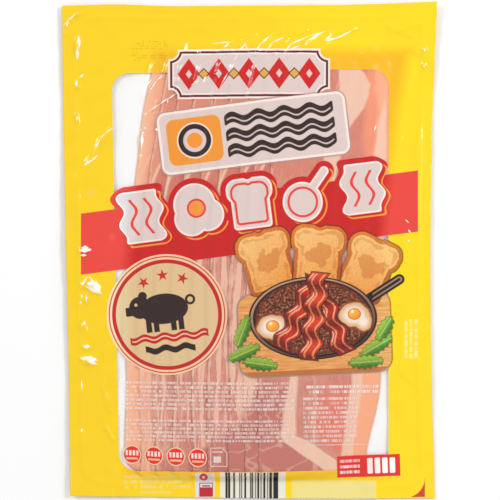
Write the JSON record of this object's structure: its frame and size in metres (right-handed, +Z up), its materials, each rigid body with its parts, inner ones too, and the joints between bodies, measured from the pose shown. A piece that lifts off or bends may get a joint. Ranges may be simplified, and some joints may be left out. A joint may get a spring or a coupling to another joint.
{
  "type": "bacon pack",
  "caption": "Flat sealed pack of shingled bacon rashers, printed clear film on the front, welded rim all round, lying on its back.",
  "frame": {"origin": "on the supporting surface, under the middle of the pack", "axes": "+Z up, out of the pack's printed front; +Y along the pack towards its top edge; +X across it, to the right as the front is read"},
  "size_m": [0.195, 0.2583, 0.0091],
  "materials": {
    "pack_film": "gloss",
    "bacon": "moist, with streaks of fat"
  },
  "bodies": {
    "root": {"sealed_pack": "pack_film"}
  },
  "joints": []
}
